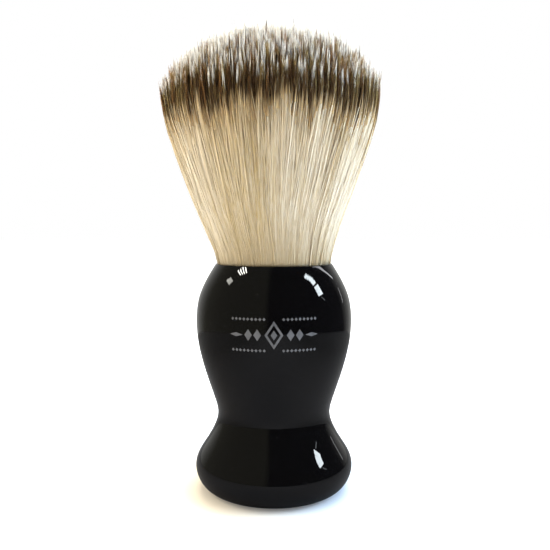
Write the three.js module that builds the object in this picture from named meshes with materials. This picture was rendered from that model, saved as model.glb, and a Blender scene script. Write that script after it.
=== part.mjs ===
// A shaving brush: a turned black resin handle, a steel weight in its foot, and a glued-in knot of fine fibres.
// Millimetres, +Z up. The origin is the centre of the face that the brush stands on.
// Every piece is a solid of revolution about Z, apart from the thread that binds the fibres.
import * as THREE from "three";
import { NURBSCurve } from "three/addons/curves/NURBSCurve.js";

// Driving dimensions.
const HANDLE_HEIGHT = 51;
const LOFT = 52; // free length of the longest fibres, above the handle
const FIT_GAP = 0.05; // left between faces that touch
const ROUND_SIDES = 56; // facets round a large piece
const SMALL_SIDES = 40; // facets round a piece hidden in the handle

// Handle. Its outside is one smooth curve held by these (radius, height) points, from the foot up to the rim.
const HANDLE_OUTLINE = [
  [12.1, 0], // edge of the face that it stands on
  [14.8, 0], // the foot rolls out of that face
  [17.3, 2.0],
  [18.4, 6.7], // widest part of the foot
  [15.1, 10.9],
  [12.5, 16.0], // waist
  [12.8, 19.2],
  [15.0, 25.1],
  [17.4, 33.4],
  [17.7, 41.2], // widest part of the bulb
  [16.4, 45.9],
  [13.1, HANDLE_HEIGHT - 0.1], // rim
];
const OUTLINE_STEPS = 30;
const RIM_ROUNDING = 0.1;

// Socket that the knot is glued into.
const SOCKET_RADIUS = 12.2;
const SOCKET_DEPTH = 13.5;
const SOCKET_FLOOR = HANDLE_HEIGHT - SOCKET_DEPTH;

// Weight pocket, which opens into the recess of the base plug.
const POCKET_RADIUS = 7.2;
const POCKET_TOP = 30;
const RECESS_RADIUS = 10.3;
const RECESS_DEPTH = 1.8;

// Base plug, flush with the face that the brush stands on: a flange in the recess and a spigot into the pocket.
const PLUG_GRIP = 0.1; // radial play of flange and spigot
const SPIGOT_TOP = 6;
const PLUG_CHAMFER = 0.3;

// Weight, held against the top of its pocket by a bead of adhesive.
const WEIGHT_RADIUS = 6.9;
const WEIGHT_CHAMFER = 0.8;
const BEAD_THICKNESS = 0.6;

// Knot: ring, resin, thread and fibres, in a film of adhesive.
const FILM_THICKNESS = 0.35;
const FILM_HEIGHT = 7.5;
const RING_WALL = 0.7;
const RING_HEIGHT = 11;
const RING_FLANGE = 0.8;
const RING_HOLE_RADIUS = 9.4;
const ROOT_RESIN_HEIGHT = 8;
const THREAD_DIAMETER = 0.6;
const THREAD_TURNS = 3;
const THREAD_PITCH = 0.66;
const THREAD_GAP = 0.2; // left all round the thread
const THREAD_SIDES = 6;
const THREAD_STEPS_PER_TURN = 18;

// Free fibres, as one bundle: (radius, height above the rim) up the outside, and a dome of tips on top.
const FAN_OUTLINE = [
  [12.1, 0],
  [13.2, 3.5],
  [15.8, 10],
  [18.6, 17],
  [20.8, 24],
  [23.2, 30],
  [24.5, 34],
  [24.8, 37.5], // widest, where the tips begin
];
const FAN_STEPS = 12;
const DOME_STEPS = 8;

// Stations along the axis that follow from the above.
const RING_OUTER = SOCKET_RADIUS - FILM_THICKNESS - 2 * FIT_GAP;
const RING_INNER = RING_OUTER - RING_WALL;
const RING_BOTTOM = SOCKET_FLOOR + FILM_THICKNESS + 2 * FIT_GAP;
const RING_TOP = RING_BOTTOM + RING_HEIGHT;
const RESIN_RADIUS = RING_INNER - FIT_GAP;
const RESIN_TOP = RING_BOTTOM + RING_FLANGE + ROOT_RESIN_HEIGHT;
const THREAD_RADIUS = RESIN_RADIUS - THREAD_DIAMETER / 2 - FIT_GAP;
const THREAD_BOTTOM = RESIN_TOP + THREAD_DIAMETER;
const THREAD_TOP = THREAD_BOTTOM + THREAD_TURNS * THREAD_PITCH;
const WAIST_RADIUS = THREAD_RADIUS - THREAD_DIAMETER / 2 - THREAD_GAP; // fibres under the thread

const FINISHES = {
  black_resin: { color: 0x08080a, roughness: 0.06, metalness: 0 },
  black_plastic: { color: 0x131315, roughness: 0.5, metalness: 0 },
  steel: { color: 0x9b9da0, roughness: 0.35, metalness: 1 },
  clear_adhesive: { color: 0xcfc6a8, roughness: 0.25, metalness: 0 },
  grey_plastic: { color: 0x5d5f63, roughness: 0.55, metalness: 0 },
  amber_resin: { color: 0xa8742c, roughness: 0.2, metalness: 0 },
  waxed_thread: { color: 0xe6dcc4, roughness: 0.8, metalness: 0 },
  fibre: { color: 0xdccba6, roughness: 0.6, metalness: 0 },
};

/** A cubic B-spline that starts and ends on the first and last of its points, as plain points. */
function smooth(points, steps) {
  const degree = 3;
  const spans = points.length - degree;
  const knots = points.map((_, i) => Math.max(0, i - degree)).concat(Array(degree + 1).fill(spans));
  const control = points.map(([x, y]) => new THREE.Vector4(x, y, 0, 1));
  const curve = new NURBSCurve(degree, knots, control);
  return curve.getPoints(steps).map((p) => [p.x, p.y]);
}

/** A named piece turned about Z from a closed (radius, height) profile. */
function turned(name, finish, profile, sides = SMALL_SIDES) {
  const points = profile.map(([radius, height]) => new THREE.Vector2(radius, height));
  const geometry = new THREE.LatheGeometry(points, sides);
  geometry.rotateX(Math.PI / 2);
  return named(name, finish, geometry);
}

function named(name, finish, geometry) {
  const mesh = new THREE.Mesh(geometry, new THREE.MeshStandardMaterial(FINISHES[finish]));
  mesh.name = name;
  return mesh;
}

/** The profile of a plain disc or rod with both edges chamfered. */
function rod(radius, bottom, top, chamfer) {
  return [
    [0, bottom],
    [radius - chamfer, bottom],
    [radius, bottom + chamfer],
    [radius, top - chamfer],
    [radius - chamfer, top],
    [0, top],
  ];
}

function handleBody() {
  return turned(
    "handle_body",
    "black_resin",
    [
      [0, POCKET_TOP],
      [POCKET_RADIUS, POCKET_TOP],
      [POCKET_RADIUS, RECESS_DEPTH],
      [RECESS_RADIUS, RECESS_DEPTH],
      [RECESS_RADIUS, 0],
      ...smooth(HANDLE_OUTLINE, OUTLINE_STEPS),
      [HANDLE_OUTLINE.at(-1)[0] - RIM_ROUNDING, HANDLE_HEIGHT],
      [SOCKET_RADIUS + RIM_ROUNDING, HANDLE_HEIGHT],
      [SOCKET_RADIUS, HANDLE_HEIGHT - RIM_ROUNDING],
      [SOCKET_RADIUS, SOCKET_FLOOR],
      [0, SOCKET_FLOOR],
    ],
    ROUND_SIDES,
  );
}

function basePlug() {
  const flange = RECESS_RADIUS - PLUG_GRIP;
  const spigot = POCKET_RADIUS - PLUG_GRIP;
  const shoulder = RECESS_DEPTH - FIT_GAP;
  return turned("base_plug", "black_plastic", [
    [0, 0],
    [flange - PLUG_CHAMFER, 0],
    [flange, PLUG_CHAMFER],
    [flange, shoulder],
    [spigot, shoulder],
    [spigot, SPIGOT_TOP - PLUG_CHAMFER],
    [spigot - PLUG_CHAMFER, SPIGOT_TOP],
    [0, SPIGOT_TOP],
  ]);
}

function weightSlug() {
  const top = POCKET_TOP - BEAD_THICKNESS - 2 * FIT_GAP;
  return turned("weight_slug", "steel", rod(WEIGHT_RADIUS, SPIGOT_TOP + FIT_GAP, top, WEIGHT_CHAMFER));
}

function weightAdhesive() {
  const top = POCKET_TOP - FIT_GAP;
  const radius = WEIGHT_RADIUS - WEIGHT_CHAMFER;
  return turned("weight_adhesive", "clear_adhesive", rod(radius, top - BEAD_THICKNESS, top, BEAD_THICKNESS / 3));
}

/** A thin cup of adhesive: the bed under the knot ring and the film up its side. */
function knotAdhesive() {
  const outer = SOCKET_RADIUS - FIT_GAP;
  const inner = outer - FILM_THICKNESS;
  const floor = SOCKET_FLOOR + FIT_GAP;
  const bed = floor + FILM_THICKNESS;
  return turned("knot_adhesive", "clear_adhesive", [
    [0, floor],
    [outer, floor],
    [outer, floor + FILM_HEIGHT],
    [inner, floor + FILM_HEIGHT],
    [inner, bed],
    [0, bed],
  ]);
}

/** The ring round the roots, with a flange under it that keeps the resin in. */
function knotRing() {
  return turned("knot_ring", "grey_plastic", [
    [RING_HOLE_RADIUS, RING_BOTTOM],
    [RING_OUTER, RING_BOTTOM],
    [RING_OUTER, RING_TOP],
    [RING_INNER, RING_TOP],
    [RING_INNER, RING_BOTTOM + RING_FLANGE],
    [RING_HOLE_RADIUS, RING_BOTTOM + RING_FLANGE],
    [RING_HOLE_RADIUS, RING_BOTTOM],
  ]);
}

/** Cast resin that holds the fibres' ends, keyed into the hole of the ring. */
function rootPlug() {
  const key = RING_HOLE_RADIUS - FIT_GAP;
  const shoulder = RING_BOTTOM + RING_FLANGE + FIT_GAP;
  return turned("root_plug", "amber_resin", [
    [0, RING_BOTTOM],
    [key, RING_BOTTOM],
    [key, shoulder],
    [RESIN_RADIUS, shoulder],
    [RESIN_RADIUS, RESIN_TOP],
    [0, RESIN_TOP],
  ]);
}

/** A few touching turns of thread, wound tight round the fibres just above their resin. */
class Winding extends THREE.Curve {
  getPoint(t, target = new THREE.Vector3()) {
    const angle = 2 * Math.PI * THREAD_TURNS * t;
    return target.set(
      THREAD_RADIUS * Math.cos(angle),
      THREAD_RADIUS * Math.sin(angle),
      THREAD_BOTTOM + THREAD_TURNS * THREAD_PITCH * t,
    );
  }
}

function bindingThread() {
  const section = new THREE.Shape();
  for (let i = 0; i < THREAD_SIDES; i++) {
    const angle = (2 * Math.PI * i) / THREAD_SIDES;
    const x = (THREAD_DIAMETER / 2) * Math.cos(angle);
    const y = (THREAD_DIAMETER / 2) * Math.sin(angle);
    if (i === 0) section.moveTo(x, y);
    else section.lineTo(x, y);
  }
  section.closePath();
  const steps = THREAD_TURNS * THREAD_STEPS_PER_TURN;
  const geometry = new THREE.ExtrudeGeometry(section, { steps, extrudePath: new Winding(), bevelEnabled: false });
  return named("binding_thread", "waxed_thread", geometry);
}

/** The fibres: drawn in by the thread, filling the socket's mouth, fanning out and ending in a dome. */
function bristleBundle() {
  const bottom = RESIN_TOP + FIT_GAP;
  const grooveTop = THREAD_TOP + THREAD_DIAMETER / 2 + THREAD_GAP;
  const fan = smooth(FAN_OUTLINE, FAN_STEPS).map(([radius, height]) => [radius, HANDLE_HEIGHT + height]);
  const [shoulderRadius, shoulderHeight] = fan.at(-1);
  const domeHeight = HANDLE_HEIGHT + LOFT - shoulderHeight;
  const dome = [];
  for (let i = 1; i < DOME_STEPS; i++) {
    const angle = (Math.PI / 2) * (i / DOME_STEPS);
    dome.push([shoulderRadius * Math.cos(angle), shoulderHeight + domeHeight * Math.sin(angle)]);
  }
  return turned(
    "bristle_bundle",
    "fibre",
    [
      [0, bottom],
      [WAIST_RADIUS, bottom],
      [WAIST_RADIUS, grooveTop],
      [RESIN_RADIUS, grooveTop + (RESIN_RADIUS - WAIST_RADIUS)],
      ...fan,
      ...dome,
      [0, HANDLE_HEIGHT + LOFT],
    ],
    ROUND_SIDES,
  );
}

const brush = new THREE.Group();
brush.add(
  handleBody(),
  basePlug(),
  weightSlug(),
  weightAdhesive(),
  knotAdhesive(),
  knotRing(),
  rootPlug(),
  bindingThread(),
  bristleBundle(),
);

export default brush;
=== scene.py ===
"""The looks of a shaving brush: a polished black resin handle and a fan-shaped, two-band knot of fine fibres.

Lengths are in metres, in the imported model's frame: +Z runs up the brush and -Y is its front. Sizes that the
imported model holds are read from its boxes; the others are fields of the class whose pieces they shape.
"""

from __future__ import annotations

import logging
import math
from collections.abc import Iterable, Iterator
from contextlib import contextmanager
from dataclasses import dataclass, field
from enum import Enum

import bpy
import numpy as np
from mathutils import Euler, Matrix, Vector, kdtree


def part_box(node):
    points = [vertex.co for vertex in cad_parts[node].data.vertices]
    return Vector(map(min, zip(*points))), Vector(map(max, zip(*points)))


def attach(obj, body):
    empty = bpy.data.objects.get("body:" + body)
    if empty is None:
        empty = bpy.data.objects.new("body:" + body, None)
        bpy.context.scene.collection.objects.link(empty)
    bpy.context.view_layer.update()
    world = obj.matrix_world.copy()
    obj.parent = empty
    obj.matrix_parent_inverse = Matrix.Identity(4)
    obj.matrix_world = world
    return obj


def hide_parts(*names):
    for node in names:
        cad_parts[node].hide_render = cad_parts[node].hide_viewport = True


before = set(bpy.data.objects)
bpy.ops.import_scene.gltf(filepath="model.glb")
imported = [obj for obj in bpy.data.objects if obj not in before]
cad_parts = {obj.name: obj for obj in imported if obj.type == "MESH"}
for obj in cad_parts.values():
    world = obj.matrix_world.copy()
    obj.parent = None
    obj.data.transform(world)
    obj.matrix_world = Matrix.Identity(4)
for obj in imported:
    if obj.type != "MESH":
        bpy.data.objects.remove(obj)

log = logging.getLogger("shaving_brush")

MM = 0.001
BODY = "root"
TOUCH = 0.05 * MM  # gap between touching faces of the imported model
WELD = 0.002 * MM  # vertices nearer than this are one
MOST_TRIANGLES = 190_000  # in one piece

PANE_DISTANCE = 1.3  # from the brush to the mirrored windows

Pair = tuple[float, float]
Colour = tuple[float, float, float]
Outline = list[Pair]
Edge = tuple[Pair, Pair]  # azimuth and elevation of an edge's two ends

BLACK: Colour = (0.0, 0.0, 0.0)
WHITE: Colour = (1.0, 1.0, 1.0)


# ------------------------------------------------------------------------------
# Modelling
# ------------------------------------------------------------------------------


def deselect_all() -> None:
    """Leaves object mode with nothing selected."""
    if bpy.context.mode != "OBJECT":
        bpy.ops.object.mode_set(mode="OBJECT")
    bpy.ops.object.select_all(action="DESELECT")


def choose(piece: bpy.types.Object) -> None:
    """Makes one object the only selected one, and the active one."""
    deselect_all()
    piece.select_set(True)
    bpy.context.view_layer.objects.active = piece


@contextmanager
def editing() -> Iterator[None]:
    """Edits the active piece's mesh, starting with all of it selected."""
    bpy.ops.object.mode_set(mode="EDIT")
    bpy.ops.mesh.select_all(action="SELECT")
    yield
    bpy.ops.object.mode_set(mode="OBJECT")


def smooth_line(points: Outline, steps: int) -> np.ndarray:
    """Evaluates the cubic B-spline that starts and ends on the first and last of its points.

    Args:
        points: The spline's control points.
        steps: How many equal steps of its parameter to take.

    Returns:
        The points of the line, one row for each, steps + 1 in all.
    """
    degree = 3
    control = np.array(points, float)
    spans = len(points) - degree
    knots = np.concatenate([np.zeros(degree), np.arange(spans + 1), np.full(degree, spans)])
    where = np.linspace(0.0, spans, steps + 1)
    where[-1] = spans * (1.0 - 1e-9)
    weights = [((where >= a) & (where < b)).astype(float) for a, b in zip(knots, knots[1:])]
    for order in range(1, degree + 1):
        raised = []
        for i in range(len(weights) - 1):
            rise, fall = knots[i + order] - knots[i], knots[i + order + 1] - knots[i + 1]
            up = (where - knots[i]) / rise * weights[i] if rise else 0.0
            down = (knots[i + order + 1] - where) / fall * weights[i + 1] if fall else 0.0
            raised.append(up + down)
        weights = raised
    return sum(weight[:, None] * point for weight, point in zip(weights, control))


def turned(name: str, profile: Outline, sides: int = 96, smooth_below: float = 30.0) -> bpy.types.Object:
    """Turns a piece about the Z axis: a vertex is extruded along the profile, and the line is spun.

    Args:
        name: The piece's name.
        profile: Radius and height of each corner, with both ends on the axis, or the last on the first.
        sides: How many faces go round.
        smooth_below: Edges that turn less than this many degrees are shaded smooth.

    Returns:
        The piece, closed, with its faces pointing outwards.
    """
    deselect_all()
    bpy.ops.mesh.primitive_plane_add(size=MM)
    piece = bpy.context.object
    piece.name = piece.data.name = name
    with editing():
        bpy.ops.mesh.merge(type="CENTER")
        bpy.ops.transform.translate(value=(profile[0][0], 0.0, profile[0][1]))
        for (r0, z0), (r1, z1) in zip(profile, profile[1:]):
            bpy.ops.mesh.extrude_region_move(TRANSFORM_OT_translate={"value": (r1 - r0, 0.0, z1 - z0)})
        bpy.ops.mesh.select_all(action="SELECT")
        bpy.ops.mesh.spin(steps=sides, angle=2.0 * math.pi, center=(0, 0, 0), axis=(0, 0, 1))
        bpy.ops.mesh.select_all(action="SELECT")
        bpy.ops.mesh.remove_doubles(threshold=WELD)
        bpy.ops.mesh.normals_make_consistent(inside=False)
    bpy.ops.object.shade_smooth_by_angle(angle=math.radians(smooth_below))
    return piece


def apply_modifier(piece: bpy.types.Object, kind: str, **settings: object) -> None:
    """Adds one modifier to a piece with the given settings, and applies it."""
    choose(piece)
    modifier = piece.modifiers.new(kind.title(), kind)
    for key, value in settings.items():
        setattr(modifier, key, value)
    bpy.ops.object.modifier_apply(modifier=modifier.name)


def finish_piece(piece: bpy.types.Object, material: bpy.types.Material, slot: str, *nodes: str) -> None:
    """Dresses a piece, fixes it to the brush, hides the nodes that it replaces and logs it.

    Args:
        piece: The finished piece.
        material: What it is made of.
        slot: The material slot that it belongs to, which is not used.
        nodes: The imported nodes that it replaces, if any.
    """
    piece.data.materials.clear()
    piece.data.materials.append(material)
    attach(piece, BODY)
    if nodes:
        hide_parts(*nodes)
    log.info("%s: %d faces, %s", piece.name, len(piece.data.polygons), material.name)


# ------------------------------------------------------------------------------
# Finishes
# ------------------------------------------------------------------------------


Inputs = dict[str | int, object]  # a value for each socket, or the output socket that feeds it


class Nodes:
    """A node tree, with short ways to add nodes and to join them."""

    def __init__(self, tree: bpy.types.NodeTree) -> None:
        """Works on the given tree."""
        self.tree = tree

    def feed(self, node: bpy.types.Node, inputs: Inputs) -> bpy.types.Node:
        """Gives a node's sockets their values or their links, and returns the node."""
        for key, value in inputs.items():
            if isinstance(value, bpy.types.NodeSocket):
                self.tree.links.new(value, node.inputs[key])
            else:
                node.inputs[key].default_value = value
        return node

    def add(self, kind: str, inputs: Inputs | None = None, **settings: object) -> bpy.types.Node:
        """Adds a node.

        Args:
            kind: The node's type, without its ShaderNode prefix.
            inputs: What its sockets are fed with.
            settings: The node's own properties.

        Returns:
            The node.
        """
        node = self.tree.nodes.new("ShaderNode" + kind)
        for key, value in settings.items():
            setattr(node, key, value)
        return self.feed(node, inputs or {})

    def math(self, operation: str, a: object, b: object = 0.0, clamp: bool = False) -> bpy.types.NodeSocket:
        """Adds a Math node and returns its value."""
        return self.add("Math", {0: a, 1: b}, operation=operation, use_clamp=clamp).outputs[0]

    def mix(self, share: object, a: object, b: object) -> bpy.types.NodeSocket:
        """Adds a colour Mix node and returns its colour."""
        a, b = (c if isinstance(c, bpy.types.NodeSocket) else (*c, 1.0) for c in (a, b))
        return self.add("Mix", {0: share, 6: a, 7: b}, data_type="RGBA").outputs[2]

    def spread(self, value: object, low: float, high: float, to: Pair = (0.0, 1.0)) -> bpy.types.NodeSocket:
        """Adds a Map Range node from low..high to the range `to`, and returns its value."""
        inputs = {"Value": value, "From Min": low, "From Max": high, "To Min": to[0], "To Max": to[1]}
        return self.add("MapRange", inputs).outputs[0]

    def bump(self, height: object, strength: float, distance: float) -> bpy.types.NodeSocket:
        """Adds a Bump node and returns its normal."""
        return self.add("Bump", {"Strength": strength, "Distance": distance, "Height": height}).outputs[0]


class EffectGroup(Nodes):
    """A shader node group that reads a Vector and some numbers, and puts out numbers."""

    def __init__(self, name: str, inputs: dict[str, float]) -> None:
        """Makes an empty group.

        Args:
            name: The group's name.
            inputs: Each number's socket, with its usual value.
        """
        super().__init__(bpy.data.node_groups.new(name, "ShaderNodeTree"))
        self.tree.interface.new_socket("Vector", in_out="INPUT", socket_type="NodeSocketVector")
        for key, value in inputs.items():
            socket = self.tree.interface.new_socket(key, in_out="INPUT", socket_type="NodeSocketFloat")
            socket.default_value = value
        self.given = self.tree.nodes.new("NodeGroupInput").outputs

    def put_out(self, outputs: dict[str, bpy.types.NodeSocket]) -> bpy.types.NodeTree:
        """Gives the group its outputs, and returns its tree."""
        for key in outputs:
            self.tree.interface.new_socket(key, in_out="OUTPUT", socket_type="NodeSocketFloat")
        self.feed(self.tree.nodes.new("NodeGroupOutput"), outputs)
        return self.tree


class Surface(Nodes):
    """A material with one Principled shader, and the nodes that feed it."""

    def __init__(self, name: str, shader: Inputs) -> None:
        """Makes the material, with uniform values on the shader's own sockets."""
        self.material = bpy.data.materials.new(name)
        self.material.use_nodes = True
        super().__init__(self.material.node_tree)
        self.principled = self.tree.nodes["Principled BSDF"]
        self.place = self.add("TexCoord").outputs["Object"]
        self.feed(self.principled, shader)

    def effect(self, group: bpy.types.NodeTree, **inputs: float) -> bpy.types.NodeOutputs:
        """Places a shared effect on the surface.

        Args:
            group: The effect's node group.
            inputs: Its numbers, with the spaces in their names written as underscores.

        Returns:
            Its outputs.
        """
        values = {key.replace("_", " "): value for key, value in inputs.items()}
        return self.add("Group", {"Vector": self.place, **values}, node_tree=group).outputs

    def finish(self, **varying: bpy.types.NodeSocket) -> bpy.types.Material:
        """Joins what varies over the surface to the shader.

        Args:
            varying: The sockets' sources, with the spaces in their names written as underscores.

        Returns:
            The material.
        """
        self.feed(self.principled, {key.replace("_", " "): value for key, value in varying.items()})
        return self.material


class Effects:
    """The surface effects that several finishes share, each a node group made once."""

    rare_speck = 0.985  # a dust cell shows where its random value is above this

    def __init__(self) -> None:
        """Makes the groups."""
        self.handling = self.make_handling()
        self.turning = self.make_turning()
        self.streaks = self.make_streaks()

    def make_handling(self) -> bpy.types.NodeTree:
        """Wear from handling: faint smears that dull the gloss, dust specks, and ripples.

        Returns:
            A group with Vector, Smear Scale and Speck Scale in, and Smear, Specks and Ripple out.
        """
        group = EffectGroup("handling_wear", {"Smear Scale": 90.0, "Speck Scale": 2200.0})
        smeared = {"Vector": group.given["Vector"], "Scale": group.given["Smear Scale"]}
        smear = group.add("TexNoise", {**smeared, "Detail": 4.0, "Distortion": 0.8}).outputs["Fac"]
        ripple = group.add("TexNoise", {**smeared, "Detail": 1.0}).outputs["Fac"]
        specks = {"Vector": group.given["Vector"], "Scale": group.given["Speck Scale"]}
        cells = group.add("TexVoronoi", specks).outputs
        chance = group.add("SeparateColor", {0: cells["Color"]}).outputs[0]
        rare = group.math("GREATER_THAN", chance, self.rare_speck)
        near = group.spread(cells["Distance"], 0.28, 0.12)
        dust = group.math("MULTIPLY", rare, near)
        return group.put_out({"Smear": group.spread(smear, 0.45, 0.75), "Specks": dust, "Ripple": ripple})

    def make_turning(self) -> bpy.types.NodeTree:
        """Marks of a lathe tool: fine uneven rings round Z, on faces and on sides alike.

        Returns:
            A group with Vector and Pitch in, and Rings out.
        """
        group = EffectGroup("turning_marks", {"Pitch": 0.25 * MM})
        x, y, z = group.add("SeparateXYZ", {0: group.given["Vector"]}).outputs
        across = group.math("ADD", group.math("POWER", x, 2.0), group.math("POWER", y, 2.0))
        out_and_up = group.math("ADD", group.math("SQRT", across), z)
        step = group.math("DIVIDE", out_and_up, group.given["Pitch"])
        rings = group.add("TexNoise", {"W": step, "Scale": 1.0, "Detail": 3.0}, noise_dimensions="1D")
        return group.put_out({"Rings": rings.outputs["Fac"]})

    def make_streaks(self) -> bpy.types.NodeTree:
        """Streaks along Z, as side-by-side fibres make them.

        Returns:
            A group with Vector, Fineness and Stretch in, and Streak and Fine out.
        """
        group = EffectGroup("fibre_streaks", {"Fineness": 900.0, "Stretch": 0.03})
        stretch = group.add("CombineXYZ", {0: 1.0, 1: 1.0, 2: group.given["Stretch"]}).outputs[0]
        drawn = group.add("VectorMath", {0: group.given["Vector"], 1: stretch}, operation="MULTIPLY")
        coarse = group.math("MULTIPLY", group.given["Fineness"], 0.22)
        outputs = {}
        for key, scale, detail in (("Streak", coarse, 2.0), ("Fine", group.given["Fineness"], 3.0)):
            noise = {"Vector": drawn.outputs[0], "Scale": scale, "Detail": detail}
            outputs[key] = group.add("TexNoise", noise).outputs["Fac"]
        return group.put_out(outputs)


@dataclass(frozen=True)
class PolishedResin:
    """Black cast resin buffed to a deep gloss, faintly smeared, with a little dust."""

    name: str = "polished_black_resin"
    colour: Colour = (0.0012, 0.0011, 0.0012)
    dust: Colour = (0.03, 0.028, 0.027)
    roughness: Pair = (0.02, 0.05)  # where it is clean, and where it is smeared
    ripple_height: float = 0.006 * MM

    def make(self, effects: Effects) -> bpy.types.Material:
        """Makes the material from the shared effects."""
        surface = Surface(self.name, {"IOR": 1.5, "Specular IOR Level": 0.5, "Metallic": 0.0})
        wear = surface.effect(effects.handling, Smear_Scale=70.0, Speck_Scale=1500.0)
        return surface.finish(
            Base_Color=surface.mix(surface.math("MULTIPLY", wear["Specks"], 0.5), self.colour, self.dust),
            Roughness=surface.spread(wear["Smear"], 0.0, 1.0, self.roughness),
            Normal=surface.bump(wear["Ripple"], strength=0.35, distance=self.ripple_height),
        )


@dataclass(frozen=True)
class TurnedStock:
    """A plain material cut on a lathe: plastic or steel with fine rings, a little handled."""

    name: str
    colour: Colour
    worn: Colour
    roughness: float
    metallic: float = 0.0
    pitch: float = 0.25 * MM
    depth: float = 0.02 * MM

    def make(self, effects: Effects) -> bpy.types.Material:
        """Makes the material from the shared effects."""
        surface = Surface(self.name, {"Metallic": self.metallic, "IOR": 1.5})
        rings = surface.effect(effects.turning, Pitch=self.pitch)["Rings"]
        wear = surface.effect(effects.handling, Smear_Scale=140.0, Speck_Scale=1800.0)
        tone = surface.math("MULTIPLY", surface.math("ADD", rings, wear["Smear"]), 0.5, clamp=True)
        return surface.finish(
            Base_Color=surface.mix(tone, self.colour, self.worn),
            Roughness=surface.spread(tone, 0.2, 0.8, (self.roughness * 0.8, self.roughness * 1.25)),
            Normal=surface.bump(rings, strength=0.5, distance=self.depth),
        )


@dataclass(frozen=True)
class CastResin:
    """Clear or amber resin that set as it was poured: cloudy patches and small bubbles."""

    name: str
    colour: Colour
    cloudy: Colour
    roughness: float = 0.2
    bubble_scale: float = 900.0
    bubble_depth: float = 0.1 * MM

    def make(self, effects: Effects) -> bpy.types.Material:
        """Makes the material from the shared effects."""
        surface = Surface(self.name, {"IOR": 1.54, "Coat Weight": 0.2})
        wear = surface.effect(effects.handling, Smear_Scale=260.0, Speck_Scale=self.bubble_scale)
        return surface.finish(
            Base_Color=surface.mix(wear["Smear"], self.colour, self.cloudy),
            Roughness=surface.spread(wear["Smear"], 0.0, 1.0, (self.roughness, self.roughness * 2.0)),
            Normal=surface.bump(wear["Specks"], strength=0.4, distance=self.bubble_depth),
        )


@dataclass(frozen=True)
class FibreTone:
    """One stretch of colour on the fibres, which differs from fibre to fibre and changes along each.

    The fibres' meshes hold two attributes: tone, from 0 to 1, which is one value for each fibre, and along,
    which runs from 0 to 1 over the stretch. On the shafts, tone also holds painted light.
    """

    name: str
    dark: tuple[Colour, Colour]  # a dark fibre's colour where the stretch starts and where it ends
    light: tuple[Colour, Colour]  # the same of a light fibre
    turn: Pair  # where along the stretch the first colour starts and ends turning into the last
    clearness: float  # share of the light that goes into a fibre and comes out further on
    shine: float
    adhesive_and_shade: Colour | None = None  # colour at the very start: adhesive that has crept up the fibres, and painted shade where the rim shadows them
    adhesive_and_shade_to: float = 0.0
    roughness: float = 0.42
    unevenness: float = 0.12

    def make(self, effects: Effects) -> bpy.types.Material:
        """Makes the material from the shared effects."""
        shader = {
            "IOR": 1.48,
            "Specular IOR Level": self.shine,
            "Subsurface Weight": self.clearness,
            "Subsurface Radius": (1.0, 0.85, 0.6),
            "Subsurface Scale": 0.6 * MM,
        }
        surface = Surface(self.name, shader)
        tone = surface.add("Attribute", attribute_name="tone").outputs["Fac"]
        along = surface.add("Attribute", attribute_name="along").outputs["Fac"]
        streaks = surface.effect(effects.streaks, Fineness=1400.0, Stretch=0.12)
        uneven = surface.spread(streaks["Fine"], 0.3, 0.7, (-self.unevenness, self.unevenness))
        turn = surface.spread(surface.math("ADD", along, uneven), *self.turn)
        share = surface.math("ADD", tone, uneven, clamp=True)
        colour = surface.mix(share, surface.mix(turn, *self.dark), surface.mix(turn, *self.light))
        # the roots darken towards the rim: adhesive, and painted shade from the rim
        if self.adhesive_and_shade:
            colour = surface.mix(surface.spread(along, 0.0, self.adhesive_and_shade_to), self.adhesive_and_shade, colour)
        rough = (self.roughness * 1.15, self.roughness * 0.85)
        return surface.finish(Base_Color=colour, Roughness=surface.spread(tone, 0.0, 1.0, rough))


@dataclass(frozen=True)
class PackedFibre:
    """Fibres too deep in the knot to be told apart: streaks with painted shade between them, tan at the foot
    and dark where the band is.
    """

    foot: float  # heights where the tan starts to darken, and where it is as dark as the band
    band: float
    name: str = "packed_fibre"
    tan: Colour = (0.8, 0.69, 0.5)
    # painted shade: the darker streaks between the packed fibres
    # painted shade: the darker streaks between the packed fibres
    painted_gap_shade: Colour = (0.68, 0.55, 0.36)
    dark: Colour = (0.03, 0.018, 0.01)
    depth: float = 0.2 * MM

    def make(self, effects: Effects) -> bpy.types.Material:
        """Makes the material from the shared effects."""
        surface = Surface(self.name, {"IOR": 1.48, "Specular IOR Level": 0.2})
        streaks = surface.effect(effects.streaks, Fineness=1800.0, Stretch=0.03)
        height = surface.add("SeparateXYZ", {0: surface.place}).outputs[2]
        # painted shade: darker streaks where the fibres leave gaps
        fibres = surface.mix(surface.spread(streaks["Fine"], 0.35, 0.65), self.painted_gap_shade, self.tan)
        return surface.finish(
            Base_Color=surface.mix(surface.spread(height, self.foot, self.band), fibres, self.dark),
            Roughness=surface.spread(streaks["Streak"], 0.3, 0.7, (0.5, 0.75)),
            Normal=surface.bump(streaks["Fine"], strength=0.8, distance=self.depth),
        )


@dataclass(frozen=True)
class PrintInk:
    """Matt grey ink, printed on the resin and slightly rubbed."""

    name: str = "printed_ink"
    colour: Colour = (0.1, 0.098, 0.1)
    rubbed: Colour = (0.065, 0.064, 0.065)

    def make(self, effects: Effects) -> bpy.types.Material:
        """Makes the material from the shared effects."""
        surface = Surface(self.name, {"IOR": 1.45})
        wear = surface.effect(effects.handling, Smear_Scale=420.0, Speck_Scale=3000.0)
        return surface.finish(
            Base_Color=surface.mix(wear["Smear"], self.colour, self.rubbed),
            Roughness=surface.spread(wear["Smear"], 0.0, 1.0, (0.38, 0.5)),
        )


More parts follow.
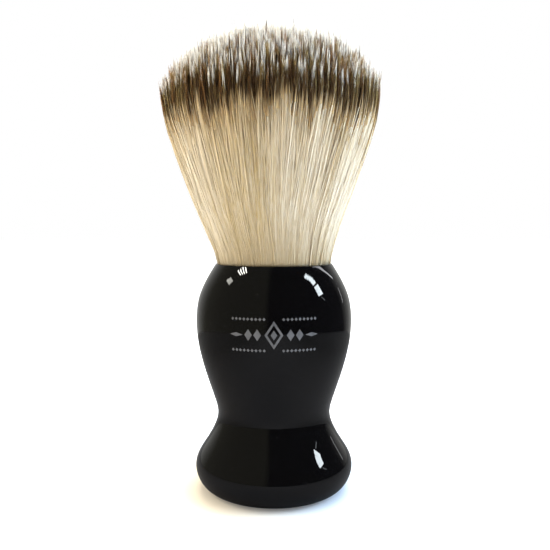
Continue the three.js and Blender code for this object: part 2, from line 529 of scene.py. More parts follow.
@dataclass(frozen=True)
class WaxedThread:
    """Twisted thread drawn through wax: slanting plies, painted shade in their grooves, and a soft sheen."""

    name: str = "waxed_thread"
    colour: Colour = (0.74, 0.66, 0.5)
    # painted shade: the thread is darker in the grooves between its plies
    groove_shade: Colour = (0.4, 0.32, 0.2)
    ply: float = 0.5 * MM
    depth: float = 0.08 * MM

    def make(self, effects: Effects) -> bpy.types.Material:
        """Makes the material from the shared effects."""
        surface = Surface(self.name, {"IOR": 1.45, "Sheen Weight": 0.3})
        wave = {"Vector": surface.place, "Scale": 0.05 / self.ply, "Distortion": 1.5, "Detail": 2.0}
        plies = surface.add("TexWave", wave, bands_direction="DIAGONAL").outputs["Fac"]
        wear = surface.effect(effects.handling, Smear_Scale=500.0, Speck_Scale=2500.0)
        return surface.finish(
            Base_Color=surface.mix(plies, self.groove_shade, self.colour),
            Roughness=surface.spread(wear["Smear"], 0.0, 1.0, (0.55, 0.75)),
            Normal=surface.bump(plies, strength=0.7, distance=self.depth),
        )


# ------------------------------------------------------------------------------
# Handle
# ------------------------------------------------------------------------------


@dataclass
class Handle:
    """The handle's body, turned from one smooth outline, with its socket, weight pocket and recess."""

    outline: Outline = field(
        default_factory=lambda: [
            (12.1, 0.0),  # edge of the face that it stands on
            (14.8, 0.0),
            (17.3, 2.0),
            (18.4, 6.7),  # foot
            (15.1, 10.9),
            (12.5, 16.0),  # waist
            (12.8, 19.2),
            (15.0, 25.1),
            (17.4, 33.4),
            (17.7, 41.2),  # bulb
            (16.4, 45.9),
            (13.1, 50.9),  # rim
        ]
    )
    outline_steps: int = 130
    sides: int = 192
    rim_rounding: float = 0.1 * MM
    corner_steps: int = 3
    hold_share: float = 0.94

    def __post_init__(self) -> None:
        """Reads the hollows from the pieces that fill them."""
        self.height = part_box("handle_body")[1][2]
        self.outline = [(r * MM, z * MM) for r, z in self.outline]
        low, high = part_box("knot_adhesive")
        self.socket_radius = high[0] + TOUCH
        self.socket_floor = low[2] - TOUCH
        self.pocket_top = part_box("weight_adhesive")[1][2] + TOUCH
        self.line = smooth_line(self.outline, self.outline_steps)

    def radius(self, height: float) -> float:
        """Gives the outer radius at a height."""
        return float(np.interp(height, self.line[:, 1], self.line[:, 0]))

    def rounded(self, centre: Pair, radius: float, start: float, end: float) -> Outline:
        """Draws an arc of the rim's rounding.

        Args:
            centre: Radius and height of the arc's centre.
            radius: The arc's own radius.
            start: The angle that it starts at, in degrees, from straight out.
            end: The angle that it ends at.

        Returns:
            The arc's points.
        """
        angles = np.radians(np.linspace(start, end, self.corner_steps + 1))
        return [(centre[0] + radius * math.cos(a), centre[1] + radius * math.sin(a)) for a in angles]

    def build(self, plug: BasePlug) -> bpy.types.Object:
        """Turns the body round the base plug's recess.

        Args:
            plug: The base plug, whose sizes the recess and the pocket follow.

        Returns:
            The handle's body.
        """
        (r0, z0), (r1, z1) = self.line[-2:]
        lean = math.atan2(r0 - r1, z1 - z0)  # how far the outside faces upwards where it meets the rim
        rounding = (self.height - z1) / (1.0 - math.sin(lean))
        outer = (r1 - rounding * math.cos(lean), self.height - rounding)
        # this ring keeps the outside's shading true up to the rim's arc
        hold = (r0 + (r1 - r0) * self.hold_share, z0 + (z1 - z0) * self.hold_share)
        inner = (self.socket_radius + self.rim_rounding, self.height - self.rim_rounding)
        profile = [
            (0.0, self.pocket_top),
            (plug.pocket_radius, self.pocket_top),
            (plug.pocket_radius, plug.recess_depth),
            (plug.recess_radius, plug.recess_depth),
            (plug.recess_radius, 0.0),
            *[(float(r), float(z)) for r, z in self.line[:-1]],
            (float(hold[0]), float(hold[1])),
            *self.rounded(outer, rounding, math.degrees(lean), 90.0),
            *self.rounded(inner, self.rim_rounding, 90.0, 180.0),
            (self.socket_radius, self.socket_floor),
            (0.0, self.socket_floor),
        ]
        return turned("handle", profile, self.sides, smooth_below=35.0)


@dataclass
class BasePlug:
    """The plug in the handle's foot: a flange flush with the foot, a spigot and a moulding gate's dimple."""

    play: float = 0.1 * MM
    recess_depth: float = 1.8 * MM
    edge: float = 0.3 * MM
    dimple_radius: float = 2.2 * MM
    dimple_depth: float = 0.25 * MM
    ring_radius: float = 7.6 * MM
    ring_width: float = 0.5 * MM

    def __post_init__(self) -> None:
        """Reads the plug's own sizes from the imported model."""
        _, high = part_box("base_plug")
        self.flange_radius = high[0]
        self.top = high[2]
        self.recess_radius = self.flange_radius + self.play
        self.pocket_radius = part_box("weight_slug")[1][0] + 3.0 * self.play
        self.spigot_radius = self.pocket_radius - self.play

    def build(self) -> bpy.types.Object:
        """Turns the plug, with a shallow groove round its face and a dimple in the middle.

        Returns:
            The plug.
        """
        shoulder = self.recess_depth - TOUCH
        groove_shade = self.ring_width / 2.0
        profile = [
            (0.0, self.dimple_depth),
            (self.dimple_radius - self.dimple_depth, self.dimple_depth),
            (self.dimple_radius, 0.0),
            (self.ring_radius - groove_shade, 0.0),
            (self.ring_radius - groove_shade / 2.0, groove_shade),
            (self.ring_radius + groove_shade / 2.0, groove_shade),
            (self.ring_radius + groove_shade, 0.0),
            (self.flange_radius - self.edge, 0.0),
            (self.flange_radius, self.edge),
            (self.flange_radius, shoulder),
            (self.spigot_radius, shoulder),
            (self.spigot_radius, self.top - self.edge),
            (self.spigot_radius - self.edge, self.top),
            (0.0, self.top),
        ]
        return turned("base_plug_turned", profile, 128)


@dataclass
class Ornament:
    """A printed ornament on the handle's front: lozenges and tapered bars between two rows of dots."""

    handle: Handle
    centre_height: float = 37.4 * MM
    half_width: float = 9.4 * MM
    big: Pair = (1.9 * MM, 2.9 * MM)  # half width and half height of the middle lozenge
    big_line: float = 0.45 * MM
    inner_share: float = 0.35  # size of the lozenge inside it
    small: Pair = (0.8 * MM, 1.2 * MM)
    small_places: Pair = (3.4 * MM, 5.3 * MM)
    bar: Pair = (6.5 * MM, 0.42 * MM)  # where each bar starts, and its half height in the middle
    rows: float = 3.2 * MM  # height of the rows of dots above and below the middle
    row_start: float = 2.0 * MM
    row_length: float = 6.8 * MM
    dot: float = 0.34 * MM
    dots: int = 9
    raised: float = 0.012 * MM
    thickness: float = 0.02 * MM

    def lozenge(self, x: float, z: float, half_width: float, half_height: float, hollow: float = 0.0) -> None:
        """Adds one upright lozenge in edit mode.

        Args:
            x: Where its centre is, across the front.
            z: Where its centre is, above the ornament's middle.
            half_width: Half its width.
            half_height: Half its height.
            hollow: The width of its outline where it is hollow, or 0 for a solid one.
        """
        bpy.ops.mesh.select_all(action="DESELECT")
        bpy.ops.mesh.primitive_circle_add(
            vertices=4, radius=1.0, fill_type="NGON", rotation=(math.pi / 2.0, 0.0, 0.0), location=(0, 0, 0)
        )
        bpy.ops.transform.resize(value=(half_width, 1.0, half_height))
        bpy.ops.transform.translate(value=(x, 0.0, z))
        if hollow:
            bpy.ops.mesh.inset(thickness=hollow, depth=0.0)
            bpy.ops.mesh.delete(type="FACE")

    def build(self) -> bpy.types.Object:
        """Draws the ornament flat, then lays it on the handle and thickens it.

        Returns:
            The ornament.
        """
        deselect_all()
        bpy.ops.mesh.primitive_plane_add(size=MM)
        piece = bpy.context.object
        piece.name = piece.data.name = "printed_ornament"
        start, half_height = self.bar
        length = (self.half_width - start) / 2.0
        front = self.handle.radius(self.centre_height) + MM
        with editing():
            bpy.ops.mesh.delete(type="VERT")
            self.lozenge(0.0, 0.0, *self.big, hollow=self.big_line)
            self.lozenge(0.0, 0.0, self.big[0] * self.inner_share, self.big[1] * self.inner_share)
            for side in (-1.0, 1.0):
                for place in self.small_places:
                    self.lozenge(side * place, 0.0, *self.small)
                self.lozenge(side * (start + length), 0.0, length, half_height)
                for row in (-1.0, 1.0):
                    for i in range(self.dots):
                        x = side * (self.row_start + i * self.row_length / (self.dots - 1))
                        self.lozenge(x, row * self.rows, self.dot, self.dot)
            bpy.ops.mesh.select_all(action="SELECT")
            bpy.ops.transform.translate(value=(0.0, -front, self.centre_height))
        self.lay_on(piece)
        return piece

    def lay_on(self, piece: bpy.types.Object) -> None:
        """Cuts the flat ornament small enough to bend, wraps it on the handle and gives it its thickness."""
        apply_modifier(piece, "TRIANGULATE")
        apply_modifier(piece, "SUBSURF", subdivision_type="SIMPLE", levels=3, render_levels=3)
        mesh = piece.data
        places = np.empty(len(mesh.vertices) * 3)
        mesh.vertices.foreach_get("co", places)
        places = places.reshape(-1, 3)
        around = places[:, 0] / self.handle.radius(self.centre_height)
        profile = self.handle.line
        radius = np.interp(places[:, 2], profile[:, 1], profile[:, 0]) + self.raised
        places[:, 0] = radius * np.sin(around)
        places[:, 1] = -radius * np.cos(around)
        mesh.vertices.foreach_set("co", places.ravel())
        apply_modifier(piece, "SOLIDIFY", thickness=self.thickness, offset=1.0)
        choose(piece)
        with editing():
            bpy.ops.mesh.normals_make_consistent(inside=False)


# ------------------------------------------------------------------------------
# Knot
# ------------------------------------------------------------------------------


class Stretch(Enum):
    """The three stretches of colour along a fibre, from the handle out."""

    SHAFT = "shafts"
    BAND = "bands"
    TIP = "tips"


@dataclass
class Span:
    """Where one stretch of every fibre starts and ends, above the rim, and how it is modelled."""

    foot: np.ndarray
    head: np.ndarray
    tone: np.ndarray  # from 0, a dark fibre, to 1, a light one; on the shafts it also holds painted light
    stations: int
    pointed: bool = False


def strand_template(stations: int, pointed: bool) -> tuple[np.ndarray, list[tuple[int, ...]]]:
    """Models one straight three-sided strand, one unit thick and one unit from station to station.

    Args:
        stations: How many lengths it has.
        pointed: Whether its far end is drawn to a point.

    Returns:
        Its vertices and its faces. The strand itself isn't kept.
    """
    deselect_all()
    bpy.ops.mesh.primitive_circle_add(vertices=3, radius=1.0, fill_type="NGON")
    strand = bpy.context.object
    with editing():
        for _ in range(stations):
            bpy.ops.mesh.extrude_region_move(TRANSFORM_OT_translate={"value": (0.0, 0.0, 1.0)})
        if pointed:
            bpy.ops.mesh.merge(type="CENTER")
        bpy.ops.mesh.select_all(action="SELECT")
        bpy.ops.mesh.normals_make_consistent(inside=False)
    places = np.array([v.co[:] for v in strand.data.vertices])
    faces = [tuple(p.vertices) for p in strand.data.polygons]
    bpy.data.objects.remove(strand)
    return places, faces


@dataclass
class Knot:
    """The knot: loose fibres that fan out of the socket and end in a dome, over a core of packed ones.

    Heights here are above the handle's rim. A fibre's reach is its share of the fan's radius. The pairs are
    the least and the most of an even spread.
    """

    rim: float
    fan: Outline = field(
        default_factory=lambda: [
            (12.1, 0.0),
            (13.1, 3.5),
            (15.5, 10.0),
            (18.2, 17.0),
            (20.5, 24.0),
            (22.7, 30.0),
            (23.4, 34.0),
            (23.55, 37.5),
        ]
    )
    loft: float = 51.8 * MM
    dome_power: float = 1.8
    lean: float = 0.12  # how much wider the fan gets for each length above its shoulder
    count: int = 29000
    skin: int = 4200  # how many of the fibres lie at the very outside, so that no deep gaps show
    skin_reach: float = 0.985
    core_reach: float = 0.95
    core_depth: float = 8.5 * MM  # from the tips down to the core
    core_steps: int = 40
    core_top_steps: int = 16
    core_sides: int = 144
    root_depth: float = 1.5 * MM  # how far down the socket the loose fibres are modelled
    thickness: float = 0.098 * MM  # a fibre's radius
    girths: Pair = (0.8, 1.25)
    taper: float = 6.5 * MM  # length over which a fibre thins to its tip
    uneven_tips: float = 0.9 * MM
    shortness: Pair = (1.6, 0.5)  # shape and scale of the gamma spread by which fibres are shorter
    longest: float = 0.9
    clumps: int = 560  # locks of fibres that run together from the rim to the tips
    clump_pull: float = 0.06
    clump_pinch: float = 0.34  # how much more they draw together at the tips
    locks: int = 110  # broader streaks, which differ in tone and in where the band starts
    tufts: int = 3300  # the few fibres that end in one point
    tuft_rises: float = 0.65  # deviation of their heights
    tuft_pull: float = 0.93
    tuft_length: float = 13.0 * MM
    gather_power: float = 1.5
    drift: float = 0.36 * MM
    wave: float = 0.3 * MM
    wave_spread: float = 0.25  # how far the fibres of a tuft are out of step, in radians
    wave_length: float = 7.0 * MM  # height in which a wave turns by one radian
    cross: float = 0.07  # how far round the knot a fibre's root may be from its tip, as a share of the radius
    tip_length: float = 3.5 * MM
    tip_lengths: Pair = (0.3, 1.2)  # of different tufts
    tip_spread: Pair = (0.85, 1.15)  # within a tuft
    band_length: float = 5.2 * MM
    band_lengths: Pair = (0.8, 1.2)
    least_band: float = 0.3 * MM
    band_sag: float = 0.85 * MM  # how much lower the band starts at the knot's two sides
    sag_tilt: float = 0.55  # and how much more of that there is on the right
    band_wander: float = 1.9 * MM  # how far apart in height the band starts in different locks
    inner_tips: float = 1.5  # how much longer the pale tips are in the middle of the dome
    outer_lift: float = 0.95  # how much shorter than that in the outermost fibres
    band_lift: float = 0.3  # and at the knot's two sides
    tilt: float = 0.6 * MM  # how much higher the dome is on the right than in the middle
    set_over: float = -0.8 * MM  # how far to the side the knot leans
    strays: int = 22  # fibres on the right whose dark stretch hangs well below the band
    stray_length: Pair = (2.0 * MM, 11.0 * MM)
    stray_side: float = 0.55
    stray_reach: float = 1.03
    pale_share: float = 0.03  # fibres whose dark stretch is short, so that they cross the band as pale lines
    pale_band: float = 0.25
    dark_share: float = 0.36  # tufts that stay dark almost to their points
    dark_tuft: tuple[float, float, float] = (0.2, 0.3, -0.7)  # their tone, pale length and rise
    pale_tuft: tuple[float, float, float] = (1.0, 1.2, 0.45)  # the same of the others
    tuft_tones: Pair = (0.65, 1.0)
    tone_shares: tuple[float, float, float] = (0.1, 0.78, 0.12)  # clump, tuft and the fibre itself
    shaft_shares: tuple[float, float, float] = (0.25, 0.3, 0.25)  # clump, lock and the fibre itself
    least_shaft_tone: float = 0.02
    painted_side_light: float = 0.3  # painted light: the fibres at the knot's two sides are made lighter by this much, where the side lamps fall on them
    painted_right_light: float = 0.45  # painted light: and lighter than that by this much on the right
    painted_depth_light: float = 5.0  # painted light: how much lighter the fibres under the outermost ones are made, to fill the shade that falls between them
    outside: float = 0.95  # reach of the outermost fibres
    outer: float = 0.9  # reach of those that splay
    splay: float = 0.35  # how much further than the others the outer fibres stray at their tips
    flare: float = 0.5 * MM  # how far outwards the tips of the outermost fibres turn
    most_flare: float = 2.0
    seed: int = 20

    def __post_init__(self) -> None:
        """Works out the fan's outline and lays out all the fibres."""
        self.line = smooth_line([(r * MM, z * MM) for r, z in self.fan], 160)
        self.widest, self.shoulder = (float(x) for x in self.line[-1])
        self.rng = np.random.default_rng(self.seed)
        self.place_fibres()
        self.set_tones()
        self.set_lengths()
        self.loosen()

    def radius(self, height: np.ndarray) -> np.ndarray:
        """Gives the fan's radius at each height, going on outwards above its shoulder."""
        inside = np.interp(height, self.line[:, 1], self.line[:, 0])
        return inside + self.lean * np.maximum(height - self.shoulder, 0.0)

    def dome(self, reach: np.ndarray) -> np.ndarray:
        """Gives the height of the tips of fibres of these reaches, on the dome."""
        rise = self.loft - self.shoulder
        height = np.full_like(reach, self.shoulder)
        for _ in range(40):
            share = np.clip(reach * self.radius(height) / self.widest, 0.0, 1.0)
            aim = self.shoulder + rise * (1.0 - share**self.dome_power) ** (1.0 / self.dome_power)
            height = 0.6 * height + 0.4 * aim
        return height

    def gathered(self, count: int) -> tuple[np.ndarray, np.ndarray]:
        """Spreads `count` gathering points evenly over the disc, and gives each fibre its nearest.

        Args:
            count: How many points there are.

        Returns:
            The number of each fibre's point, and its place.
        """
        number = np.arange(count) + 0.5
        angle = number * math.pi * (3.0 - math.sqrt(5.0))
        reach = np.sqrt(number / count)
        points = np.column_stack([reach * np.cos(angle), reach * np.sin(angle)])
        points += self.rng.normal(0.0, 0.35 / math.sqrt(count), points.shape)
        tree = kdtree.KDTree(count)
        for i, (x, y) in enumerate(points):
            tree.insert((x, y, 0.0), i)
        tree.balance()
        nearest = np.array([tree.find((x, y, 0.0))[1] for x, y in self.home])
        return nearest, points[nearest]

    def place_fibres(self) -> None:
        """Gives every fibre its place in the fan, its root, its clump and its tuft."""
        rng, count = self.rng, self.count
        self.reach = np.sqrt(rng.random(count))
        self.reach[: self.skin] = rng.uniform(self.skin_reach, 1.0, self.skin)
        angle = rng.random(count) * 2.0 * math.pi
        self.home = np.column_stack([self.reach * np.cos(angle), self.reach * np.sin(angle)])
        aside = rng.normal(0.0, self.cross, count)[:, None]
        self.root_shift = aside * np.column_stack([-np.sin(angle), np.cos(angle)]) * self.reach[:, None]
        self.clump, self.clump_at = self.gathered(self.clumps)
        self.tuft, self.tuft_at = self.gathered(self.tufts)

    def set_tones(self) -> None:
        """Makes tufts and fibres lighter or darker, and their pale tips longer or shorter. On the shafts it
        also paints light: lighter at the knot's two sides, more on the right, and under the outermost fibres.
        """
        rng, count = self.rng, self.count
        clump_tone = rng.random(self.clumps)[self.clump]
        is_dark = (rng.random(self.tufts) < self.dark_share)[:, None]
        tone, pale, rise = np.where(is_dark, self.dark_tuft, self.pale_tuft).T
        tuft_tone = tone * rng.uniform(*self.tuft_tones, self.tufts)
        self.pale = (pale * rng.uniform(*self.tip_lengths, self.tufts))[self.tuft]
        self.rise = (rng.normal(0.0, self.tuft_rises, self.tufts) + rise)[self.tuft]
        by_clump, by_tuft, by_fibre = self.tone_shares
        tone = by_clump * clump_tone + by_tuft * tuft_tone[self.tuft] + by_fibre * rng.random(count)
        self.tone = np.clip(tone, 0.0, 1.0)
        lock_tone = rng.random(self.locks)
        self.lock_tone = lock_tone[self.gathered(self.locks)[0]]
        by_clump, by_lock, by_fibre = self.shaft_shares
        tone = self.least_shaft_tone + by_clump * clump_tone + by_lock * self.lock_tone
        tone += by_fibre * rng.random(count)
        # painted light: the shafts are made lighter at the knot's two sides, and more on the right, where the
        # lamps fall
        tone += self.painted_side_light * self.home[:, 0] ** 2
        tone += self.painted_right_light * np.maximum(self.home[:, 0], 0.0)
        # painted light: the deeper fibres are made lighter to fill the shade between them
        self.shaft_tone_and_light = np.clip(tone + self.painted_depth_light * (1.0 - self.reach), 0.0, 1.0)

    def set_lengths(self) -> None:
        """Gives every fibre its tip's height and its dark stretch, and lets a few strays hang low."""
        rng, count = self.rng, self.count
        short = rng.gamma(*self.shortness, count)
        self.tip = self.dome(self.reach) + self.uneven_tips * (self.longest - short + self.rise)
        self.tip += self.tilt * self.home[:, 0]
        aside = self.home[:, 0] ** 2
        shorter = (self.inner_tips - self.outer_lift * self.reach**2) * (1.0 - self.band_lift * aside)
        pale_length = self.tip_length * self.pale * shorter
        self.band_top = self.tip - pale_length * rng.uniform(*self.tip_spread, count)
        band = self.band_length * rng.uniform(*self.band_lengths, count)
        band[rng.random(count) < self.pale_share] *= self.pale_band
        at_side = (self.reach > self.outside) & (self.home[:, 0] > self.stray_side)
        stray = rng.choice(np.flatnonzero(at_side), self.strays, replace=False)
        band[stray] += rng.uniform(*self.stray_length, self.strays)
        self.home[stray] *= self.stray_reach / self.reach[stray, None]
        sag = self.band_sag * aside * (1.0 + self.sag_tilt * self.home[:, 0])
        wander = self.band_wander * (self.lock_tone - 0.5)
        self.band_foot = self.tip - self.tip_length - band - sag + wander
        self.band_foot = np.minimum(self.band_foot, self.band_top - self.least_band)

    def loosen(self) -> None:
        """Gives every fibre its drift, its wave, its flare, its turn and its girth."""
        rng, count = self.rng, self.count
        angle = rng.random(count) * 2.0 * math.pi
        splay = 1.0 + self.splay * (self.reach > self.outer)
        drift = self.drift * np.abs(rng.normal(0.0, 1.0, count)) * splay
        self.drift_by = np.column_stack([drift * np.cos(angle), drift * np.sin(angle)])
        self.phase = rng.random((self.tufts, 2))[self.tuft] * 2.0 * math.pi
        self.phase += rng.normal(0.0, self.wave_spread, (count, 2))
        flare = self.flare * np.minimum(rng.exponential(1.0, self.tufts), self.most_flare)
        self.flare_by = (flare[self.tuft] * (self.reach > self.outside))[:, None] * self.home
        self.turn = rng.random(count) * 2.0 * math.pi
        self.girth = self.thickness * rng.uniform(*self.girths, count)

    def centre(self, rows: np.ndarray, height: np.ndarray) -> np.ndarray:
        """Gives the centre line of some fibres.

        Args:
            rows: The fibres' numbers.
            height: One height for each of them.

        Returns:
            A point for each.
        """
        free = np.clip(height / self.shoulder, 0.0, 1.2)[:, None]
        near_tip = np.clip(1.0 - (self.tip[rows] - height) / self.tuft_length, 0.0, 1.0)[:, None]
        gathering = near_tip**self.gather_power
        held = self.clump_pull * np.clip(free * 2.0, 0.0, 1.0) ** 2 + self.clump_pinch * gathering
        pinched = self.tuft_pull * gathering
        place = self.home[rows] + self.root_shift[rows] * np.clip(1.0 - free, 0.0, 1.0)
        place += held * (self.clump_at[rows] - place)
        place += pinched * (self.tuft_at[rows] - place)
        flat = place * self.radius(height)[:, None]
        flat += self.drift_by[rows] * free**1.6 * (1.0 - pinched)
        flat += self.flare_by[rows] * near_tip**3
        flat[:, 0] += self.set_over * np.clip(4.0 * free[:, 0], 0.0, 1.0)
        flat += self.wave * free * np.sin(height[:, None] / self.wave_length + self.phase[rows])
        return np.column_stack([flat, self.rim + height])

    def strands(self, name: str, rows: np.ndarray, span: Span) -> bpy.types.Object:
        """Copies the strand template once for each fibre, bends each copy to its line and joins them.

        Args:
            name: The piece's name.
            rows: The fibres' numbers.
            span: Where the stretch of each fibre starts and ends, and its tone.

        Returns:
            The piece, with its attributes tone and along.
        """
        stations, foot, head = span.stations, span.foot[rows], span.head[rows]
        shape, faces = strand_template(stations, span.pointed)
        along = shape[:, 2] / stations
        height = foot[:, None] + (head - foot)[:, None] * along
        every = np.repeat(rows, len(shape))
        places = self.centre(every, height.ravel())
        thin = np.clip((self.tip[every] - height.ravel()) / self.taper, 0.0, 1.0)
        girth = self.girth[every] * np.maximum(thin, 0.1)
        turn = self.turn[every]
        x, y = np.tile(shape[:, 0], len(rows)), np.tile(shape[:, 1], len(rows))
        places[:, 0] += girth * (x * np.cos(turn) - y * np.sin(turn))
        places[:, 1] += girth * (x * np.sin(turn) + y * np.cos(turn))
        corners = np.concatenate([np.array(face) for face in faces])
        sizes = np.array([len(face) for face in faces])
        step = np.arange(len(rows)) * len(shape)
        mesh = bpy.data.meshes.new(name)
        mesh.vertices.add(len(places))
        mesh.vertices.foreach_set("co", places.ravel())
        mesh.loops.add(len(corners) * len(rows))
        mesh.loops.foreach_set("vertex_index", (step[:, None] + corners).ravel())
        mesh.polygons.add(len(sizes) * len(rows))
        all_sizes = np.tile(sizes, len(rows))
        mesh.polygons.foreach_set("loop_start", np.concatenate([[0], np.cumsum(all_sizes)[:-1]]))
        mesh.polygons.foreach_set("use_smooth", np.ones(len(all_sizes), bool))
        mesh.update(calc_edges=True)
        mesh.validate()
        for key, values in (("tone", span.tone[every]), ("along", np.tile(along, len(rows)))):
            mesh.attributes.new(key, "FLOAT", "POINT").data.foreach_set("value", values.astype(np.float32))
        piece = bpy.data.objects.new(name, mesh)
        bpy.context.scene.collection.objects.link(piece)
        return piece

    def build_stretch(self, stretch: Stretch) -> list[bpy.types.Object]:
        """Builds one stretch of all the fibres that show there.

        Args:
            stretch: Which stretch.

        Returns:
            Its pieces, each small enough to export whole.
        """
        rows = np.arange(self.count)
        if stretch is Stretch.SHAFT:
            rows = rows[self.reach > self.core_reach]
            span = Span(np.full(self.count, -self.root_depth), self.band_foot, self.shaft_tone_and_light, 7)
        elif stretch is Stretch.BAND:
            span = Span(self.band_foot, self.band_top, self.tone, 3)
        else:
            span = Span(self.band_top, self.tip, self.tone, 3, pointed=True)
        triangles = len(rows) * (6 * span.stations + 2)
        parts = np.array_split(rows, math.ceil(triangles / MOST_TRIANGLES))
        return [self.strands(f"fibre_{stretch.value}_{i}", part, span) for i, part in enumerate(parts, 1)]

    def build_core(self) -> bpy.types.Object:
        """Turns the core: fibres packed too deep to be seen one by one.

        Returns:
            The core.
        """
        low, high = -self.root_depth * 2.0, self.dome(np.array([self.core_reach]))[0] - self.core_depth
        heights = np.linspace(low, high, self.core_steps)
        reach = np.linspace(self.core_reach, 0.0, self.core_top_steps)
        top = self.dome(reach) - self.core_depth
        radii = self.radius(np.maximum(heights, 0.0)) * self.core_reach
        profile = [(0.0, low)]
        profile += list(zip(radii.tolist(), heights.tolist()))
        profile += list(zip((self.radius(top) * reach).tolist()[1:], top.tolist()[1:]))
        profile = [(r, self.rim + z) for r, z in profile]
        return turned("fibre_core", profile, self.core_sides, smooth_below=80.0)


# ------------------------------------------------------------------------------
# Studio
# ------------------------------------------------------------------------------


@dataclass(frozen=True)
class Lamp:
    """An area lamp, placed by its direction from the brush and turned towards it.

    An azimuth of 0 is straight in front of the brush, and 90 is to its right.
    """

    name: str
    azimuth: float
    elevation: float
    distance: float
    size: Pair
    power: float
    colour: Colour
    in_gloss: bool = False
    aim: float = 48.0 * MM  # height that it is turned to
    roll: float = 0.0  # degrees round the line to the brush

    def build(self) -> bpy.types.Object:
        """Adds the lamp to the scene."""
        data = bpy.data.lights.new(self.name, "AREA")
        data.shape = "RECTANGLE"
        data.size, data.size_y = self.size
        data.energy = self.power
        data.color = self.colour
        lamp = bpy.data.objects.new(self.name, data)
        bpy.context.scene.collection.objects.link(lamp)
        turn, rise = math.radians(self.azimuth), math.radians(self.elevation)
        away = self.distance * math.cos(rise)
        height = self.aim + self.distance * math.sin(rise)
        lamp.location = (away * math.sin(turn), -away * math.cos(turn), height)
        facing = Euler((math.pi / 2.0 - rise, 0.0, turn)).to_matrix()
        lamp.rotation_euler = (facing @ Matrix.Rotation(math.radians(self.roll), 3, "Z")).to_euler()
        lamp.visible_glossy = self.in_gloss
        lamp.visible_camera = False
        return lamp


def soft_lamps() -> list[Lamp]:
    """Gives the lamps that light the fibres: warm from the left, cool from the right, plain from behind.

    Returns:
        The lamps, none of which shows in the gloss.
    """
    return [
        Lamp("left_fill", -80.0, 25.0, 0.7, (0.7, 0.7), 4.0, (1.0, 0.9, 0.72)),
        Lamp("right_key", 84.0, 30.0, 0.7, (0.7, 0.7), 7.4, (0.43, 0.67, 1.0)),
        Lamp("back_light", 170.0, 60.0, 0.8, (0.8, 0.5), 9.0, (1.0, 0.97, 0.92)),
        Lamp("top_light", 10.0, 78.0, 0.7, (0.5, 0.5), 1.5, (1.0, 0.97, 0.92)),
    ]


def stacked(
    name: str, foot: Edge, head: Edge, rows: int, glow: float, colour: Colour, open_share: float = 1.0
) -> list[Lamp]:
    """Stacks thin lamps into a pane with four free corners, or into the light between a blind's slats.

    Args:
        name: The lamps' name.
        foot: Azimuth and elevation of the two ends of the pane's lower edge.
        head: The same of its upper edge.
        rows: How many lamps it takes.
        glow: Its power for each square metre, in watts.
        colour: Its colour.
        open_share: How much of the pane the lamps cover.

    Returns:
        The lamps.
    """
    low, high = np.array(foot), np.array(head)
    level = math.cos(math.radians(float(np.mean([low[:, 1], high[:, 1]]))))
    rise = (high.mean(axis=0) - low.mean(axis=0)) * (level, 1.0)
    lamps = []
    for i in range(rows):
        start, end = low + (high - low) * (i + 0.5) / rows
        run = (end - start) * (level, 1.0)
        length = float(np.hypot(*run))
        depth = abs(float(run[0] * rise[1] - run[1] * rise[0])) / length / rows * open_share
        size = (PANE_DISTANCE * math.radians(length), PANE_DISTANCE * math.radians(depth))
        azimuth, elevation = ((start + end) / 2.0).tolist()
        roll = math.degrees(math.atan2(run[1], run[0]))
        power = glow * size[0] * size[1]
        place = (azimuth, elevation, PANE_DISTANCE)
        lamps.append(Lamp(f"{name}_{i}", *place, size, power, colour, in_gloss=True, roll=roll))
    return lamps


def windows() -> list[Lamp]:
    """Gives the windows that the handle mirrors on its right: a tall one, and a door's bright edge.

    Returns:
        The lamps, as the handle's bulb sees them.
    """
    cool, plain = (0.86, 0.95, 1.0), (0.95, 0.96, 1.0)
    top = ((68.4, 47.6), (76.0, 47.2))
    upper = ((77.0, 42.2), (84.6, 42.3))
    middle = ((78.4, 38.2), (87.4, 37.4))
    lower = ((78.6, 36.8), (88.4, 35.6))
    sill = ((76.9, 26.4), (88.2, 26.8))
    return [
        *stacked("window_top", upper, top, 3, 66.0, cool),
        *stacked("window_upper", middle, upper, 2, 66.0, cool),
        *stacked("window_lower", sill, lower, 3, 62.0, cool),
        Lamp("window_ledge", 83.6, 21.8, 1.2, (0.02, 0.14), 0.03, cool, in_gloss=True, roll=30.0),
        Lamp("door_edge_upper", 115.9, 31.9, 1.2, (0.022, 0.72), 0.24, plain, in_gloss=True, roll=50.0),
        Lamp("door_edge_lower", 127.0, 10.0, 1.2, (0.018, 0.24), 0.05, plain, in_gloss=True, roll=-23.0),
    ]


def blinds() -> list[Lamp]:
    """Gives the light between the slats of a blind on the left, and one pane below it.

    Returns:
        The lamps, as the handle's bulb sees them.
    """
    cream = (1.0, 0.98, 0.9)
    blind_foot, blind_head = ((-90.4, 43.6), (-79.6, 45.2)), ((-77.0, 51.0), (-66.0, 51.6))
    pane_foot, pane_head = ((-101.2, 33.5), (-89.5, 34.6)), ((-95.4, 37.7), (-86.4, 39.1))
    return [
        *stacked("slat", blind_foot, blind_head, 4, 160.0, cream, open_share=0.3),
        *stacked("left_pane", pane_foot, pane_head, 3, 24.0, cream),
    ]


